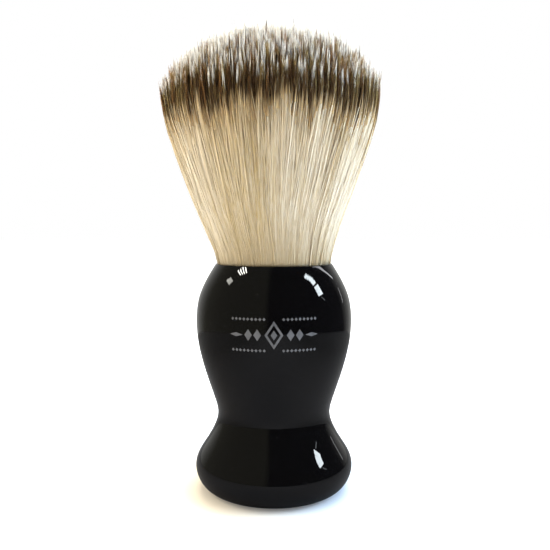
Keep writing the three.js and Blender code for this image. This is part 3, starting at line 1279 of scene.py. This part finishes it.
@dataclass
class Studio:
    """A white table in a bright room, and the camera that looks at the brush's front."""

    camera_distance: float = 150.0 * MM
    camera_height: float = 59.0 * MM
    camera_drop: float = 4.06  # degrees below level
    lens: float = 43.57
    sensor: float = 36.0
    shift_x: float = 0.002
    floor_size: float = 6.0
    floor_colour: Colour = (0.86, 0.86, 0.86)
    painted_shadow_left: Colour = (0.8, 0.71, 0.55)  # painted shadow by the foot: warm on the left, cool on the right, as the mixed lamps would tint the table
    painted_shadow_right: Colour = (0.66, 0.72, 0.78)
    painted_shadow_reach: Pair = (0.019, 0.032)  # distances over which that painted shadow fades out
    side_fade: float = 0.012
    floor_glows: Pair = (0.1, 0.35)  # near and far: the far floor is kept as white as the near one
    glow_fade: Pair = (0.03, 0.25)
    table_reach: float = 0.19  # how far the white table goes on, as the gloss shows it
    table_edge: float = 0.05  # how soft its edge is, as a share of that
    table_sides: Pair = (0.02, 0.09)  # distances to the side over which it looks dimmer
    floor_in_gloss: Colour = (0.128, 0.124, 0.124)
    floor_sides_in_gloss: Colour = (0.07, 0.068, 0.065)
    room_light: float = 0.84  # what the fibres and the floor get from all round
    room_in_gloss: Colour = (0.035, 0.033, 0.035)
    left_in_gloss: Colour = (0.17, 0.165, 0.13)  # the lighter wall on the left
    left_edge: Pair = (-0.06, 0.08)  # where it starts, as directions, and how that slants
    left_slant: float = 0.18
    wall_in_gloss: Colour = (0.6, 0.6, 0.58)  # the bright wall behind the brush
    wall_edge: Pair = (0.45, 0.95)
    lamps: list[Lamp] = field(default_factory=lambda: [*soft_lamps(), *windows(), *blinds()])

    def build(self) -> None:
        """Adds the camera, the floor, the lamps and the room's light."""
        self.add_camera()
        self.add_floor()
        self.add_room()
        for lamp in self.lamps:
            lamp.build()
        bpy.context.scene.view_settings.view_transform = "Standard"

    def add_camera(self) -> None:
        """Adds the camera."""
        data = bpy.data.cameras.new("camera")
        data.lens, data.sensor_width, data.shift_x = self.lens, self.sensor, self.shift_x
        data.clip_start = 5.0 * MM
        camera = bpy.data.objects.new("camera", data)
        bpy.context.scene.collection.objects.link(camera)
        camera.location = (0.0, -self.camera_distance, self.camera_height)
        camera.rotation_euler = (math.radians(90.0 - self.camera_drop), 0.0, 0.0)
        bpy.context.scene.camera = camera

    def add_floor(self) -> None:
        """Adds a white floor, which looks dimmer in the handle's gloss than it does straight on, with a
        painted coloured shadow by the foot.
        """
        deselect_all()
        bpy.ops.mesh.primitive_plane_add(size=self.floor_size)
        floor = bpy.context.object
        floor.name = "floor"
        shader = {"Roughness": 0.9, "Specular IOR Level": 0.0, "Emission Strength": 1.0}
        surface = Surface("white_table", shader)
        path, place = surface.add("LightPath").outputs, surface.place
        away = surface.add("VectorMath", {0: place}, operation="LENGTH").outputs["Value"]
        x = surface.add("SeparateXYZ", {0: place}).outputs[0]
        to_side = surface.spread(surface.math("ABSOLUTE", x), *self.table_sides)
        table = surface.mix(to_side, self.floor_in_gloss, self.floor_sides_in_gloss)
        edge = (self.table_reach * (1.0 - self.table_edge), self.table_reach * (1.0 + self.table_edge))
        past_table = surface.spread(away, *edge)
        in_gloss = surface.mix(past_table, table, BLACK)
        # painted shadow: the table is darker and tinted by the foot, warm on the left and cool on the right
        right = surface.spread(x, -self.side_fade, self.side_fade)
        near = surface.mix(right, self.painted_shadow_left, self.painted_shadow_right)
        straight_on = surface.mix(surface.spread(away, *self.painted_shadow_reach), near, self.floor_colour)
        colour = surface.mix(path["Is Glossy Ray"], straight_on, in_gloss)
        direction = surface.add("VectorMath", {0: place}, operation="NORMALIZE").outputs[0]
        room = self.room_colour(surface, direction)
        far = surface.spread(away, *self.glow_fade, self.floor_glows)
        seen = surface.mix(surface.math("MULTIPLY", path["Is Camera Ray"], far), BLACK, WHITE)
        glow = surface.mix(surface.math("MULTIPLY", path["Is Glossy Ray"], past_table), seen, room)
        floor.data.materials.append(surface.finish(Base_Color=colour, Emission_Color=glow))

    def room_colour(self, nodes: Nodes, direction: bpy.types.NodeSocket) -> bpy.types.NodeSocket:
        """Gives what the gloss sees of the room: dark, lighter on the left, and bright at the back.

        Args:
            nodes: The tree to add the nodes to.
            direction: The way that is looked, from the brush.

        Returns:
            The room's colour there.
        """
        axis = nodes.add("SeparateXYZ", {0: direction}).outputs
        leftwards = nodes.math("SUBTRACT", nodes.math("MULTIPLY", axis[1], self.left_slant), axis[0])
        sides = nodes.mix(nodes.spread(leftwards, *self.left_edge), self.room_in_gloss, self.left_in_gloss)
        return nodes.mix(nodes.spread(axis[1], *self.wall_edge), sides, self.wall_in_gloss)

    def add_room(self) -> None:
        """Sets the world: white behind the brush, an even light on it, and a dim room in its gloss."""
        world = bpy.data.worlds.new("bright_room")
        bpy.context.scene.world = world
        world.use_nodes = True
        nodes = Nodes(world.node_tree)
        background = world.node_tree.nodes["Background"]
        path = nodes.add("LightPath")
        even = (self.room_light,) * 3
        room = self.room_colour(nodes, nodes.add("TexCoord").outputs["Generated"])
        lit = nodes.mix(path.outputs["Is Glossy Ray"], even, room)
        seen = nodes.mix(path.outputs["Is Camera Ray"], lit, WHITE)
        world.node_tree.links.new(seen, background.inputs["Color"])


# ------------------------------------------------------------------------------
# The brush
# ------------------------------------------------------------------------------


@dataclass
class HiddenPieces:
    """The pieces inside the handle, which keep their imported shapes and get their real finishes."""

    effects: Effects

    def dress(self) -> None:
        """Gives each hidden piece its material."""
        adhesive = CastResin("cured_adhesive", (0.62, 0.55, 0.38), (0.7, 0.66, 0.54), 0.18).make(self.effects)
        ring = TurnedStock("moulded_ring_plastic", (0.1, 0.1, 0.11), (0.15, 0.15, 0.16), 0.5)
        steel = TurnedStock("turned_steel", (0.42, 0.42, 0.43), (0.5, 0.49, 0.48), 0.32, 1.0, 0.4 * MM)
        roots = CastResin("amber_root_resin", (0.36, 0.17, 0.035), (0.5, 0.3, 0.1), 0.15, 1500.0)
        finishes = {
            "weight_slug": steel.make(self.effects),
            "weight_adhesive": adhesive,
            "knot_adhesive": adhesive,
            "knot_ring": ring.make(self.effects),
            "root_plug": roots.make(self.effects),
            "binding_thread": WaxedThread().make(self.effects),
        }
        for node, material in finishes.items():
            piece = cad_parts[node]
            piece.data.materials.clear()
            piece.data.materials.append(material)
            log.info("%s: %s", node, material.name)


@dataclass
class ShavingBrush:
    """The whole brush."""

    effects: Effects

    def build(self) -> None:
        """Builds and dresses every piece."""
        plug = BasePlug()
        handle = Handle()
        body = handle.build(plug)
        finish_piece(body, PolishedResin().make(self.effects), "handle_resin", "handle_body")
        black_plastic = TurnedStock("turned_black_plastic", (0.012, 0.012, 0.013), (0.03, 0.03, 0.031), 0.42)
        finish_piece(plug.build(), black_plastic.make(self.effects), "base_plastic", "base_plug")
        finish_piece(Ornament(handle).build(), PrintInk().make(self.effects), "handle_resin")
        self.build_knot(handle.height)
        HiddenPieces(self.effects).dress()

    def build_knot(self, rim: float) -> None:
        """Builds the fibres above the handle's rim, stretch by stretch, and their core."""
        knot = Knot(rim)
        tones = {
            Stretch.SHAFT: FibreTone(
                "cream_fibre",
                dark=((0.45, 0.3, 0.1), (0.46, 0.29, 0.1)),
                light=((0.74, 0.63, 0.46), (0.74, 0.605, 0.41)),
                turn=(0.78, 1.0),
                clearness=0.2,
                shine=0.3,
                # adhesive and painted shade at the roots, by the rim
                adhesive_and_shade=(0.46, 0.345, 0.19),
                adhesive_and_shade_to=0.4,
            ),
            Stretch.BAND: FibreTone(
                "banded_fibre",
                dark=((0.42, 0.25, 0.1), (0.024, 0.011, 0.004)),
                light=((0.66, 0.46, 0.23), (0.075, 0.042, 0.018)),
                turn=(0.0, 0.45),
                clearness=0.4,
                shine=0.12,
            ),
            Stretch.TIP: FibreTone(
                "pale_tip_fibre",
                dark=((0.02, 0.009, 0.003), (0.1, 0.055, 0.02)),
                light=((0.11, 0.06, 0.025), (1.0, 0.93, 0.77)),
                turn=(0.0, 0.4),
                clearness=0.5,
                shine=0.12,
            ),
        }
        packed = PackedFibre(foot=rim + 26.0 * MM, band=rim + 34.0 * MM).make(self.effects)
        finish_piece(knot.build_core(), packed, "fibre", "bristle_bundle")
        for stretch in Stretch:
            material = tones[stretch].make(self.effects)
            for piece in knot.build_stretch(stretch):
                finish_piece(piece, material, "fibre", "bristle_bundle")


def main() -> None:
    """Builds the studio and the brush."""
    logging.basicConfig(level=logging.INFO, format="%(name)s: %(message)s")
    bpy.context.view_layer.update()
    Studio().build()
    ShavingBrush(Effects()).build()


if __name__ == "__main__":
    main()
